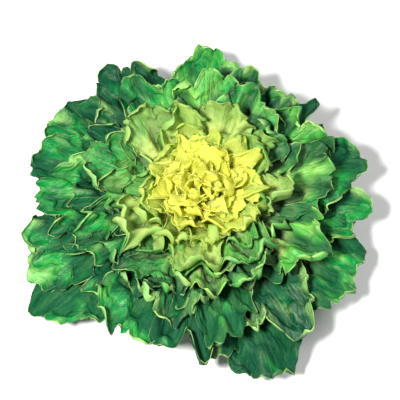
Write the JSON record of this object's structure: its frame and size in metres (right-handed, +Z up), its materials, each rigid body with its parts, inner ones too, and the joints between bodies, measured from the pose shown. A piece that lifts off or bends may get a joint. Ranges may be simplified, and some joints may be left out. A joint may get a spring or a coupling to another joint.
{
  "type": "escarole head",
  "caption": "Loose head of frilled escarole on its cut stem: waved green outer leaves spread round a dense yellow heart.",
  "frame": {"origin": "centre of the stem's cut face, which the head stands on", "axes": "+Z up along the stem through the heart; -Y is the side nearest to the viewer in the picture"},
  "size_m": [0.3353, 0.3344, 0.1231],
  "materials": {
    "crown": "matt, damp",
    "heart": "satin",
    "inner": "satin",
    "middle": "satin",
    "outer": "satin"
  },
  "bodies": {
    "root": {"crown": "crown", "heart": "heart", "inner_leaf_01": "inner", "inner_leaf_02": "inner", "inner_leaf_03": "inner", "inner_leaf_04": "inner", "inner_leaf_05": "inner", "inner_leaf_06": "inner", "inner_leaf_07": "inner", "inner_leaf_08": "inner", "inner_leaf_09": "inner", "inner_leaf_10": "inner", "inner_leaf_11": "inner", "middle_leaf_01": "middle", "middle_leaf_02": "middle", "middle_leaf_03": "middle", "middle_leaf_04": "middle", "middle_leaf_05": "middle", "middle_leaf_06": "middle", "middle_leaf_07": "middle", "middle_leaf_08": "middle", "middle_leaf_09": "middle", "middle_leaf_10": "middle", "middle_leaf_11": "middle", "middle_leaf_12": "middle", "outer_leaf_01": "outer", "outer_leaf_02": "outer", "outer_leaf_03": "outer", "outer_leaf_04": "outer", "outer_leaf_05": "outer", "outer_leaf_06": "outer", "outer_leaf_07": "outer", "outer_leaf_08": "outer", "outer_leaf_09": "outer", "outer_leaf_10": "outer", "outer_leaf_11": "outer", "outer_leaf_12": "outer", "outer_leaf_13": "outer", "outer_leaf_14": "outer", "outer_leaf_15": "outer", "outer_leaf_16": "outer"}
  },
  "joints": []
}
